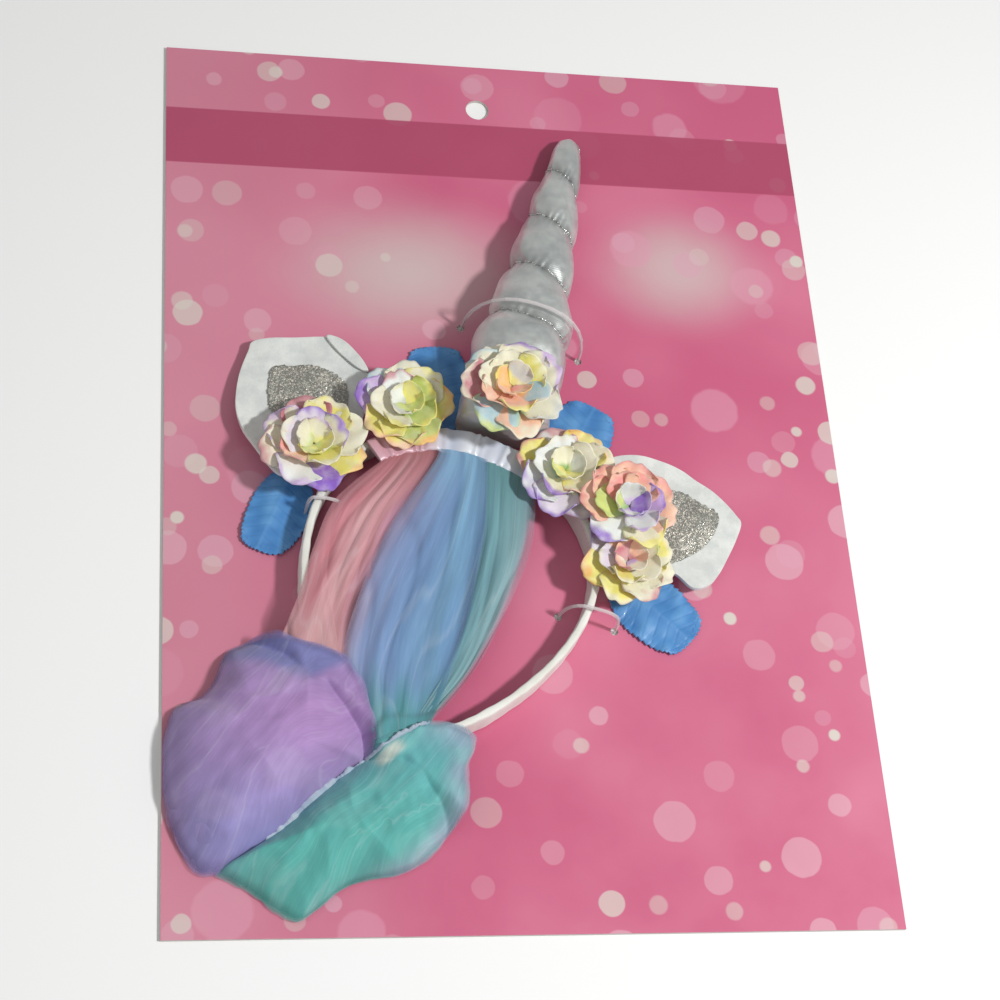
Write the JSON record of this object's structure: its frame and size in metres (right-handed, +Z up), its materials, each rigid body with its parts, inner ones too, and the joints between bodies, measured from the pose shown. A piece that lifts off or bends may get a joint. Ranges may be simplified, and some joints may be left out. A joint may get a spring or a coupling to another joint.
{
  "type": "unicorn horn headband on display card",
  "caption": "Head band with a padded spiral unicorn horn, ears, leaves, fabric flowers and a folded tulle veil, tied flat to a plain hanging display card.",
  "frame": {"origin": "centre of the display card's underside, which is also the centre of the whole part's underside", "axes": "+Z up out of the card, towards the viewer; +Y towards the card's top edge with the hang hole; +X to the card's right"},
  "size_m": [0.297, 0.42, 0.0462],
  "materials": {
    "printed_card": "printed board, satin",
    "white_fabric": "off-white felt and ribbon",
    "silver_fabric": "silver lame with a satin gloss",
    "silver_glitter": "silver glitter fabric",
    "blue_leaf": "pressed polyester leaf",
    "cream_petal": "dyed polyester petal",
    "lilac_petal": "dyed polyester petal",
    "coral_petal": "dyed polyester petal",
    "lime_petal": "dyed polyester petal",
    "header_satin": "gathered satin ribbon",
    "pink_tulle": "gathered tulle",
    "blue_tulle": "gathered tulle",
    "teal_tulle": "gathered tulle",
    "purple_tulle": "folded tulle",
    "pale_selvage": "tulle edge",
    "clear_plastic": "clear plastic tie"
  },
  "bodies": {
    "root": {"display_card": "printed_card", "headband": "white_fabric", "clear_tie_1": "clear_plastic", "clear_tie_2": "clear_plastic", "clear_tie_3": "clear_plastic", "horn": "silver_fabric", "ear_left": "white_fabric", "ear_left_glitter": "silver_glitter", "ear_right": "white_fabric", "ear_right_glitter": "silver_glitter", "leaf_low_left": "blue_leaf", "leaf_top_left": "blue_leaf", "leaf_top_right": "blue_leaf", "leaf_low_right": "blue_leaf", "veil_header": "header_satin", "veil_pink": "pink_tulle", "veil_blue": "blue_tulle", "veil_teal": "teal_tulle", "veil_bundle_purple": "purple_tulle", "veil_bundle_teal": "teal_tulle", "veil_selvage": "pale_selvage", "flower_far_left_petals": "cream_petal", "flower_far_left_middle": "lime_petal", "flower_far_left_heart": "lilac_petal", "flower_left_petals": "lime_petal", "flower_left_middle": "cream_petal", "flower_left_heart": "lime_petal", "flower_horn_petals": "cream_petal", "flower_horn_middle": "coral_petal", "flower_horn_heart": "lilac_petal", "flower_right_petals": "cream_petal", "flower_right_middle": "lime_petal", "flower_right_heart": "cream_petal", "flower_coral_petals": "coral_petal", "flower_coral_middle": "lilac_petal", "flower_coral_heart": "lime_petal", "flower_coral_calyx": "lime_petal", "flower_low_right_petals": "cream_petal", "flower_low_right_middle": "lime_petal", "flower_low_right_heart": "cream_petal"}
  },
  "joints": []
}
